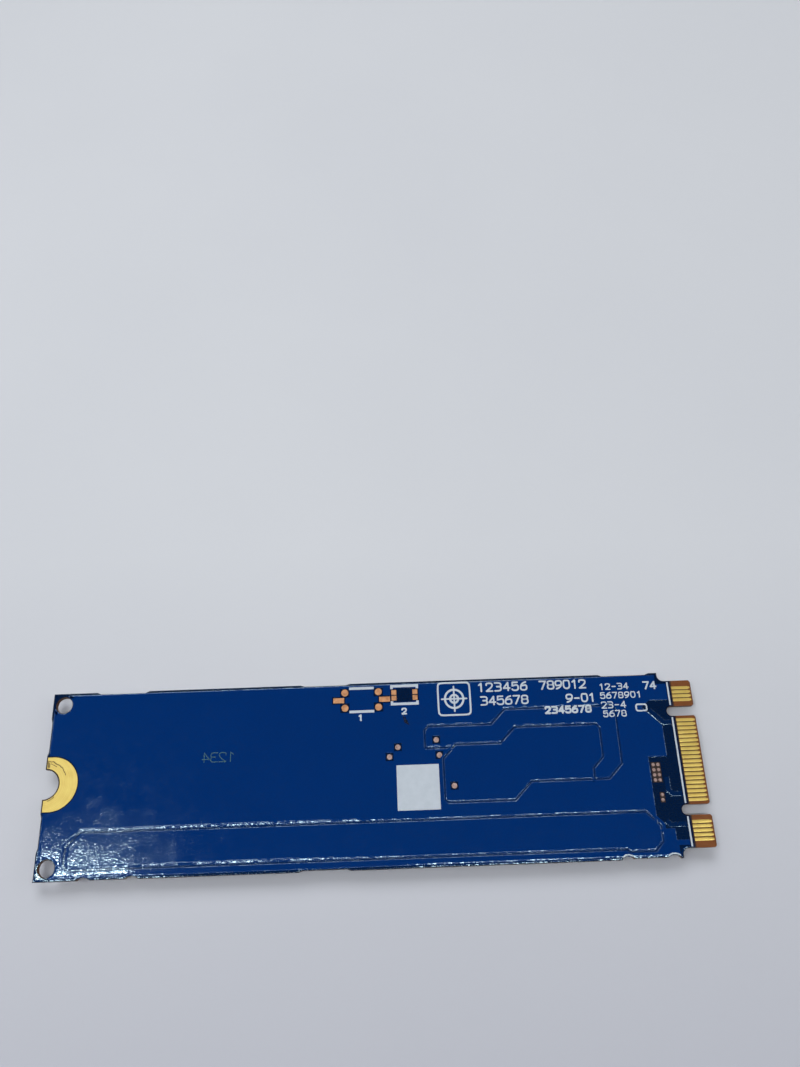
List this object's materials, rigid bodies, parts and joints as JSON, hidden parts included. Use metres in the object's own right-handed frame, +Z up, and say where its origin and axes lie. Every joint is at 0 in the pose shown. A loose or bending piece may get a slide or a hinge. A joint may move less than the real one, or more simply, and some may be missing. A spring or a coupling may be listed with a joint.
{
  "type": "gumstick solid state drive",
  "caption": "Bare solid state drive on a thin blue card: keyed edge with gold contacts, half-round screw notch with a gold crescent, memory packages on the lower face.",
  "frame": {"origin": "middle of the footprint, on the surface that the drive lies on", "axes": "+X from the screw notch to the card edge, +Y across the card, +Z up out of the bare back"},
  "size_m": [0.08, 0.022, 0.002],
  "materials": {
    "laminate": "glass and epoxy laminate, cut edges matt",
    "solder_mask": "blue lacquer, glossy with a fine orange peel",
    "legend_ink": "screen printed ink, satin",
    "contact_gold": "gold plated copper, bright",
    "pad_copper": "bare copper, slightly tarnished",
    "tinned_terminal": "tinned metal, satin",
    "solder": "tin solder, satin",
    "moulding": "moulded epoxy, matt",
    "pressed_powder": "pressed metal powder, matt",
    "package_ceramic": "fired ceramic, matt",
    "crystal_cover": "plated cover, satin",
    "fuse_ceramic": "fired ceramic, matt",
    "capacitor_ceramic": "fired ceramic, satin",
    "resistor_ceramic": "coated ceramic, satin"
  },
  "bodies": {
    "root": {"board_core": "laminate", "upper_solder_mask": "solder_mask", "lower_solder_mask": "solder_mask", "white_legend": "legend_ink", "upper_edge_contacts": "contact_gold", "lower_edge_contacts": "contact_gold", "upper_screw_pad": "contact_gold", "lower_screw_pad": "contact_gold", "test_pads": "pad_copper", "via_lands": "pad_copper", "wide_footprint_pads": "pad_copper", "narrow_footprint_pads": "pad_copper", "mount_end_flash": "moulding", "middle_flash": "moulding", "cache_memory": "moulding", "controller_package": "moulding", "power_manager_body": "moulding", "serial_memory_body": "moulding", "load_switch_body": "moulding", "flash_solder_balls": "solder", "controller_solder_balls": "solder", "cache_solder_balls": "solder", "power_manager_leads": "tinned_terminal", "serial_memory_leads": "tinned_terminal", "load_switch_leads": "tinned_terminal", "inductor_straps": "tinned_terminal", "input_fuse_terminals": "tinned_terminal", "bulk_capacitor_terminals": "tinned_terminal", "capacitor_terminals": "tinned_terminal", "resistor_terminals": "tinned_terminal", "inductor_cores": "pressed_powder", "crystal_base": "package_ceramic", "crystal_lid": "crystal_cover", "input_fuse_bodies": "fuse_ceramic", "bulk_capacitor_bodies": "capacitor_ceramic", "capacitor_bodies": "capacitor_ceramic", "resistor_bodies": "resistor_ceramic"}
  },
  "joints": []
}
